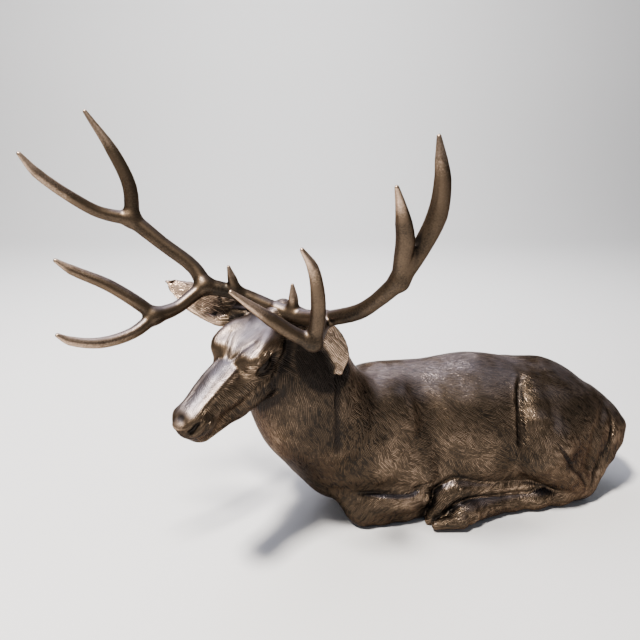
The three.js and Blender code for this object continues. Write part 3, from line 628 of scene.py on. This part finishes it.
def mesh_form(form, cell, wanted=None):
    value, low = sample_grid(form, cell)
    points, quads = surface_net(value, low, cell)
    faces = triangles(points, quads)
    points = on_surface(form, relax(on_surface(form, points, 1), faces, 0.6), 2)
    if wanted is not None:
        points, faces = refine(points, faces, wanted(points[faces].mean(1)))
        points = on_surface(form, relax(on_surface(form, points, 2), faces, 0.4), 2)
    return points, faces


LEFT_EAR_MIDDLE = [5, 128, -92]
LEFT_EAR_REACH = 85
HEAD_BOTTOM = 380       # height over the ground that the head stays above
LEG_TOP, LEG_INNER = 118, -95
TAIL_FRONT = 425


def fine_parts(p):
    """The head, the ears, the tail and the near lower legs, which have the smallest forms."""
    h = (p - POLL) @ HEAD.T
    head = (h[:, 0] > -45) & (h[:, 2] > -175) & (p[:, 2] > HEAD_BOTTOM) & (h[:, 1] > -280) & (h[:, 1] < 100)
    ear_left = np.linalg.norm(h - LEFT_EAR_MIDDLE, axis=1) < LEFT_EAR_REACH
    legs = (p[:, 2] < LEG_TOP) & (p[:, 1] < LEG_INNER)
    return head | ear_left | legs | (p[:, 0] > TAIL_FRONT)


# ---- Attributes of the surface ----

HAIR_BLEND = 18         # depth over which a mass gives way to the next one's hair
HAIR_REACH = 60


def hair_way(form, p, normal):
    """The way the hair lies: each mass has its own, and they blend as the masses do."""
    total = np.zeros_like(p)
    nearest = field(form, p)
    for m in form["masses"]:
        bound = np.linalg.norm(p - m["centre"], axis=1) - m["reach"]
        near = np.nonzero(bound < HAIR_REACH)[0]
        if len(near):
            d = np.abs(distance_to(m, p[near]) - nearest[near])
            total[near] += np.exp(-d / HAIR_BLEND)[:, None] * m["hair"]
    total += 1e-6
    total -= np.einsum("ij,ij->i", total, normal)[:, None] * normal
    return unit(total + 1e-9)


def hollows(form, p, normal, depth):
    """How much the surface is hollow (+) or raised (-) within a depth, as a share of it."""
    out = 1 - field(form, p + normal * depth) / depth
    into = 1 + field(form, p - normal * depth) / depth
    return np.clip(out, -1, 1) - np.clip(into, -1, 1)


LEAF_GAP = 22           # patches are told apart this far off the skin, which parts the sides of a leaf
SEED_SPREAD = 0.18      # how far a patch's middle strays, as a share of its size
TURN_SPREAD = 0.2       # how far a patch's hair strays from the way of the coat
GOLDEN = 0.618          # spreads the patches' numbers evenly


def patch_strokes(points, faces, normal, way, size):
    """Each face's corners in the frame of its patch: across and along the hair, and its number."""
    spread = points + normal * LEAF_GAP
    key = np.floor(spread / size + RNG.uniform(0, 1, 3)).astype(int)
    _, patch = np.unique(key, axis=0, return_inverse=True)
    patch = patch.ravel()
    number = patch.max() + 1
    count = np.bincount(patch, minlength=number)[:, None]

    def mean(v):
        return np.stack([np.bincount(patch, v[:, i], number) for i in range(3)], 1) / count
    seed = mean(spread) + RNG.normal(0, size * SEED_SPREAD, (number, 3))
    up = unit(mean(normal) + 1e-6)
    along = unit(mean(way) + 1e-6)
    turn = RNG.normal(0, TURN_SPREAD, number)[:, None]
    along = unit(along + turn * np.cross(up, along))
    along = unit(along - np.sum(along * up, 1)[:, None] * up)
    across = np.cross(up, along)
    tree = kdtree.KDTree(number)
    for i, s in enumerate(seed):
        tree.insert(s, i)
    tree.balance()
    centre = spread[faces].mean(1)
    owner = np.array([tree.find(c)[1] for c in centre])
    local = points[faces] - seed[owner][:, None]
    u = np.einsum("fci,fi->fc", local, across[owner])
    v = np.einsum("fci,fi->fc", local, along[owner])
    w = np.repeat((owner * GOLDEN % 1.0)[:, None], 3, 1)
    return np.stack([u, v, w], -1)


def vertex_normals(points, faces):
    a, b, c = (points[faces[:, i]] for i in range(3))
    n = np.cross(b - a, c - a)
    total = np.zeros_like(points)
    for i in range(3):
        for j in range(3):
            total[:, j] += np.bincount(faces[:, i], n[:, j], len(points))
    return unit(total + 1e-12)


def make_mesh(name, points, faces):
    mesh = bpy.data.meshes.new(name)
    mesh.vertices.add(len(points))
    mesh.vertices.foreach_set("co", (points * MM).astype(np.float32).ravel())
    mesh.loops.add(faces.size)
    mesh.loops.foreach_set("vertex_index", faces.astype(np.int32).ravel())
    mesh.polygons.add(len(faces))
    mesh.polygons.foreach_set("loop_start", np.arange(0, faces.size, 3, dtype=np.int32))
    mesh.polygons.foreach_set("loop_total", np.full(len(faces), 3, np.int32))
    mesh.polygons.foreach_set("use_smooth", np.ones(len(faces), bool))
    mesh.update(calc_edges=True)
    piece = bpy.data.objects.new(name, mesh)
    bpy.context.scene.collection.objects.link(piece)
    return piece


def keep_attribute(piece, name, kind, domain, values):
    layer = piece.data.attributes.new(name, kind, domain)
    layer.data.foreach_set("vector" if kind == "FLOAT_VECTOR" else "value", values.astype(np.float32).ravel())


WEAR_DEPTHS = 14, 40    # rubbing, and the darkening of hollows that is patina and painted shade together, are found from the form within these depths
SHADE_AND_PATINA_DEPTHS = 8, 26


def build_piece(name, node, form, cell, wanted, patch, furry, shade_and_darkening):
    points, faces = mesh_form(form, cell, wanted)
    if form["ground"]:
        points[:, 2] = np.maximum(points[:, 2], 0)
    normal = vertex_normals(points, faces)
    way = hair_way(form, points, normal)
    near, wide = (hollows(form, points, normal, depth) for depth in WEAR_DEPTHS)
    worn = -near - 0.5 * wide
    # Darkening of hollows and creases: the patina that bronze holds there, and painted shade there too.
    near, wide = (hollows(form, points, normal, depth) for depth in SHADE_AND_PATINA_DEPTHS)
    patina_and_shade = near + wide
    piece = make_mesh(name, points, faces)
    strokes = patch_strokes(points, faces, normal, way, patch)
    keep_attribute(piece, "stroke", "FLOAT_VECTOR", "CORNER", strokes)
    keep_attribute(piece, "worn", "FLOAT", "POINT", worn)
    # The attribute carries the hollows' patina and painted shade, plus the part's own painted shade and
    # darker places.
    keep_attribute(piece, "patina_and_shade", "FLOAT", "POINT", patina_and_shade + shade_and_darkening(points))
    keep_attribute(piece, "fur", "FLOAT", "POINT", furry(points, normal))
    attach(piece, "root")
    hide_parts(node)
    return piece


LID_WIDTH = 12          # bare rim round an eyeball
HAIR_PATCH = 46         # size of a patch of hair
HORN_PATCH = 60
TAIL_WIDTH = 34


def eye_distance(p):
    h = (p - POLL) @ HEAD.T
    return np.min([np.linalg.norm(h - [EYE[0], s * EYE[1], EYE[2]], axis=1) for s in (-1, 1)], axis=0)


def deer_fur(p, normal):
    """How strongly the hair is carved: faint on the forehead and the nose's top, none round the eyes."""
    h = (p - POLL) @ HEAD.T
    face = (h[:, 0] > 10) & (np.abs(h[:, 1]) < 90) & (h[:, 2] > -60) & (p[:, 2] > 370)
    on_top = face * np.clip((normal @ HEAD[2] - 0.35) / 0.3, 0, 1)
    nose = face * np.clip((h[:, 0] - 290) / 20, 0, 1)
    eye = np.clip((EYE_RADIUS + LID_WIDTH - eye_distance(p)) / 8, 0, 1)
    return 1 - np.maximum.reduce([0.82 * on_top, 0.8 * nose, eye])


def deer_shade_and_darkening(p):
    """Darkening added to that of the hollows: painted shade in the eye sockets and on the cheeks under the
    head, the head's painted shadow on the throat, and a darker tail and darker ears with what lies round
    them.
    """
    h = (p - POLL) @ HEAD.T
    # painted shade in the eye sockets
    shade_and_darkening = 0.9 * np.clip((EYE_RADIUS + 7 - eye_distance(p)) / 7, 0, 1)
    # the tail is made darker
    tail_line = np.array(smooth_curve(TAIL, np.linspace(0, 1, 13)))
    to_tail = np.min([np.linalg.norm(p - t, axis=1) for t in tail_line], axis=0)
    shade_and_darkening += 0.35 * np.clip((TAIL_WIDTH - to_tail) / 8, 0, 1)
    # painted shade on the cheeks under the head
    cheek = np.clip(1.3 - np.linalg.norm((h - [60, 0, -150]) / [170, 140, 150], axis=1), 0, 0.5)
    # the head's painted shadow on the throat
    throat = np.clip(1.3 - np.linalg.norm((p - [-440, -200, 400]) / [90, 120, 210], axis=1), 0, 0.42)
    # the ears and what lies round them are made darker
    far_ear = 1.6 * ((h[:, 1] < -120) & (p[:, 2] > 600))
    near_ear = 1.35 * np.clip((100 - np.linalg.norm(h - [5, 140, -100], axis=1)) / 30, 0, 1)
    return shade_and_darkening + np.maximum.reduce([cheek, throat, far_ear, near_ear])


def bare(p, normal=None):
    """No hair, no painted shade and no darkening, for the antlers."""
    return np.zeros(len(p))


DEER = build_piece("deer_casting", "deer", deer_form(), BODY_CELL, fine_parts, HAIR_PATCH, deer_fur,
                   deer_shade_and_darkening)
LEFT = build_piece("antler_left_casting", "antler_left", antler_form(ANTLER_LEFT), ANTLER_CELL, None,
                   HORN_PATCH, bare, bare)
RIGHT = build_piece("antler_right_casting", "antler_right", antler_form(ANTLER_RIGHT), ANTLER_CELL, None,
                    HORN_PATCH, bare, bare)

# ---- Bronze ----


class Nodes:
    """Adds nodes to a material and links them."""

    def __init__(self, name):
        self.material = bpy.data.materials.new(name)
        self.material.use_nodes = True
        self.tree = self.material.node_tree
        self.tree.nodes.clear()

    def add(self, kind, **settings):
        node = self.tree.nodes.new(kind)
        for key, value in settings.items():
            setattr(node, key, value)
        return node

    def put(self, socket, value):
        if isinstance(value, bpy.types.NodeSocket):
            self.tree.links.new(value, socket)
        else:
            socket.default_value = value

    def math(self, operation, a, b=0.0, clamp=False):
        node = self.add("ShaderNodeMath", operation=operation, use_clamp=clamp)
        self.put(node.inputs[0], a)
        self.put(node.inputs[1], b)
        return node.outputs[0]

    def attribute(self, name, output="Fac"):
        return self.add("ShaderNodeAttribute", attribute_name=name).outputs[output]

    def scaled(self, vector, scale):
        node = self.add("ShaderNodeMapping")
        self.put(node.inputs["Vector"], vector)
        node.inputs["Scale"].default_value = scale
        return node.outputs[0]

    def noise(self, vector, scale, detail=2.0, roughness=0.5):
        node = self.add("ShaderNodeTexNoise")
        self.put(node.inputs["Vector"], vector)
        node.inputs["Scale"].default_value = scale
        node.inputs["Detail"].default_value = detail
        node.inputs["Roughness"].default_value = roughness
        return node.outputs["Fac"]

    def ramp(self, value, low, high, to_low=0.0, to_high=1.0):
        node = self.add("ShaderNodeMapRange", interpolation_type="SMOOTHSTEP")
        self.put(node.inputs["Value"], value)
        for key, number in (("From Min", low), ("From Max", high), ("To Min", to_low), ("To Max", to_high)):
            node.inputs[key].default_value = number
        return node.outputs[0]

    def mix(self, share, a, b):
        node = self.add("ShaderNodeMix", data_type="RGBA")
        self.put(node.inputs[0], share)
        for socket, value in ((node.inputs[6], a), (node.inputs[7], b)):
            self.put(socket, value if isinstance(value, bpy.types.NodeSocket) else (*value, 1.0))
        return node.outputs[2]


STROKE_GAP = 3.7        # from one carved hair to the next
STROKE_DRIFT = 10.0     # how far the hairs wander, in radians of their wave
GRAIN_HEIGHT = 0.22
DARK, BROWN, RUBBED = (0.018, 0.015, 0.012), (0.094, 0.065, 0.042), (0.68, 0.48, 0.34)
# The darkest patina, which is also painted shade in the hollows; and a painted lavender sky reflection for
# upward faces.
DARK_PATINA_AND_SHADE, PAINTED_SKY_REFLECTION = (0.012, 0.010, 0.009), (0.36, 0.33, 0.38)


def bronze(name, relief, wear, strokes):
    """Cast bronze: dark in the hollows and between the strokes, brown on them, rubbed where it stands out.
    The dark of the hollows is patina and painted shade together; upward faces get painted top light and a
    painted sky reflection."""
    n = Nodes(name)
    place = n.add("ShaderNodeTexCoord").outputs["Object"]
    stroke = n.attribute("stroke", "Vector")
    fur = n.attribute("fur")
    cloud = n.noise(place, 8.0, 3.0, 0.55)
    grain = n.noise(place, 300.0, 3.0, 0.7)
    axes = n.add("ShaderNodeSeparateXYZ")
    n.put(axes.inputs[0], stroke)
    drift = n.noise(n.scaled(stroke, (0.07, 0.022, 40)), 1.0, 2.0, 0.55)
    breaks = n.noise(n.scaled(stroke, (0.17, 0.034, 70)), 1.0, 2.0, 0.5)
    phase = n.math("ADD", n.math("MULTIPLY", axes.outputs[0], 2 * math.pi / STROKE_GAP),
                   n.math("MULTIPLY", drift, STROKE_DRIFT))
    wave = n.ramp(n.math("SINE", phase), -0.8, 0.5)
    lines = n.math("MULTIPLY", n.math("MULTIPLY", wave, n.ramp(breaks, 0.34, 0.56)), fur)
    height = n.math("ADD", n.math("MULTIPLY", lines, strokes), n.math("MULTIPLY", grain, GRAIN_HEIGHT))
    bump = n.add("ShaderNodeBump")
    bump.inputs["Strength"].default_value = 0.85
    bump.inputs["Distance"].default_value = relief
    n.put(bump.inputs["Height"], height)

    facing = n.add("ShaderNodeSeparateXYZ")
    n.put(facing.inputs[0], n.add("ShaderNodeNewGeometry").outputs["Normal"])
    # painted top light: faces that turn upward are made lighter
    painted_top_light = n.ramp(facing.outputs[2], -0.3, 0.95)
    mottle = n.math("MULTIPLY", n.math("SUBTRACT", cloud, 0.5), 0.7)
    raised = n.math("ADD", n.ramp(n.attribute("worn"), *wear), mottle)
    raised = n.math("ADD", raised, n.math("MULTIPLY", n.math("SUBTRACT", lines, 0.3), 0.34))
    raised = n.math("ADD", raised, n.math("MULTIPLY", n.math("SUBTRACT", grain, 0.5), 0.5))
    # the rubbed wear gets the painted top light added
    raised = n.math("ADD", raised, n.math("MULTIPLY", painted_top_light, 0.12), clamp=True)
    colour = n.mix(n.ramp(raised, 0.08, 0.46), DARK, BROWN)
    colour = n.mix(n.ramp(raised, 0.46, 1.0), colour, RUBBED)
    # patina and painted shade: the hollows, the painted shade of the eye sockets, cheeks and throat, and the
    # darker tail and ears
    patina_and_shade_share = n.math("MULTIPLY", n.ramp(n.attribute("patina_and_shade"), 0.10, 0.8), 0.9)
    colour = n.mix(patina_and_shade_share, colour, DARK_PATINA_AND_SHADE)
    # painted sky reflection: upward faces are mixed towards a lavender sheen, in mottled patches
    top = n.math("MULTIPLY", n.ramp(facing.outputs[2], 0.5, 1.0), n.ramp(cloud, 0.35, 0.6))
    colour = n.mix(n.math("MULTIPLY", top, 0.4), colour, PAINTED_SKY_REFLECTION)

    shader = n.add("ShaderNodeBsdfPrincipled")
    n.put(shader.inputs["Base Color"], colour)
    shader.inputs["Metallic"].default_value = 0.96
    shader.inputs["Specular Tint"].default_value = (0.34, 0.30, 0.28, 1)
    n.put(shader.inputs["Roughness"], n.ramp(raised, 0.0, 0.8, 0.50, 0.30))
    n.put(shader.inputs["Normal"], bump.outputs[0])
    shader.inputs["Coat Weight"].default_value = 0.06
    shader.inputs["Coat Roughness"].default_value = 0.26
    n.put(shader.inputs["Coat Normal"], bump.outputs[0])
    n.tree.links.new(shader.outputs[0], n.add("ShaderNodeOutputMaterial").inputs[0])
    return n.material


HIDE = bronze("bronze_hide", 0.0016, (0.0, 1.5, 0.28, 0.72), 1.0)
HORN = bronze("bronze_antler", 0.0018, (0.2, 1.4, 0.32, 0.82), 0.0)
DEER.data.materials.append(HIDE)
LEFT.data.materials.append(HORN)
RIGHT.data.materials.append(HORN)

# ---- Floor, light and camera ----


def studio_floor():
    """A pale floor that bends up into a wall behind the deer."""
    half, rise, bend = 6.0, 5.0, 2.0
    steps = 12
    profile = [(-half, 0.0), (half - bend, 0.0)]
    for i in range(1, steps + 1):
        t = math.pi / 2 * i / steps
        profile.append((half - bend + bend * math.sin(t), bend - bend * math.cos(t)))
    profile.append((half, rise))
    points = np.array([(x, y, z) for y, z in profile for x in (-half * 2, half * 2)]) / MM
    quads = [(2 * i, 2 * i + 1, 2 * i + 3, 2 * i + 2) for i in range(len(profile) - 1)]
    mesh = bpy.data.meshes.new("floor")
    mesh.from_pydata([tuple(p * MM) for p in points], [], quads)
    floor = bpy.data.objects.new("floor", mesh)
    bpy.context.scene.collection.objects.link(floor)
    for polygon in mesh.polygons:
        polygon.use_smooth = True
    n = Nodes("pale_floor")
    shader = n.add("ShaderNodeBsdfPrincipled")
    shader.inputs["Base Color"].default_value = (0.82, 0.82, 0.83, 1)
    shader.inputs["Roughness"].default_value = 0.9
    shader.inputs["Specular IOR Level"].default_value = 0.1
    n.tree.links.new(shader.outputs[0], n.add("ShaderNodeOutputMaterial").inputs[0])
    mesh.materials.append(n.material)


def area_light(name, at, to, size, power, colour):
    data = bpy.data.lights.new(name, "AREA")
    data.size = size
    data.energy = power
    data.color = colour
    light = bpy.data.objects.new(name, data)
    light.location = at
    light.rotation_mode = "QUATERNION"
    light.rotation_quaternion = (Vector(to) - Vector(at)).to_track_quat("-Z", "Y")
    bpy.context.scene.collection.objects.link(light)


def world_light(colour, strength):
    world = bpy.data.worlds.new("studio")
    world.use_nodes = True
    background = world.node_tree.nodes["Background"]
    background.inputs[0].default_value = (*colour, 1)
    background.inputs[1].default_value = strength
    bpy.context.scene.world = world


def camera():
    azimuth, elevation, roll = (math.radians(v) for v in (-9, 18.5, 1.5))
    back = Vector((math.sin(azimuth) * math.cos(elevation), -math.cos(azimuth) * math.cos(elevation),
                   math.sin(elevation)))
    right = Vector((0, 0, 1)).cross(back).normalized()
    up = back.cross(right)
    right, up = right * math.cos(roll) + up * math.sin(roll), up * math.cos(roll) - right * math.sin(roll)
    data = bpy.data.cameras.new("camera")
    data.sensor_width = 36
    data.lens = 30.375
    data.clip_start, data.clip_end = 0.05, 60
    eye = bpy.data.objects.new("camera", data)
    turn = Matrix((right, up, back)).transposed().to_4x4()
    target = Vector((-0.400, 0.0, 0.540))
    eye.matrix_world = Matrix.Translation(target + back * 1.452) @ turn
    bpy.context.scene.collection.objects.link(eye)
    bpy.context.scene.camera = eye


studio_floor()
world_light((0.80, 0.86, 1.0), 0.17)
area_light("sun", (-1.86, -1.39, 3.96), (-0.2, 0, 0.35), 0.5, 560, (1.0, 0.94, 0.86))
area_light("sky", (-1.0, 1.3, 3.4), (-0.2, 0, 0.3), 2.4, 75, (0.86, 0.87, 1.0))
area_light("wall", (0.0, 1.5, 3.6), (0.0, 6.0, 1.6), 3.0, 260, (1.0, 1.0, 1.0))
camera()
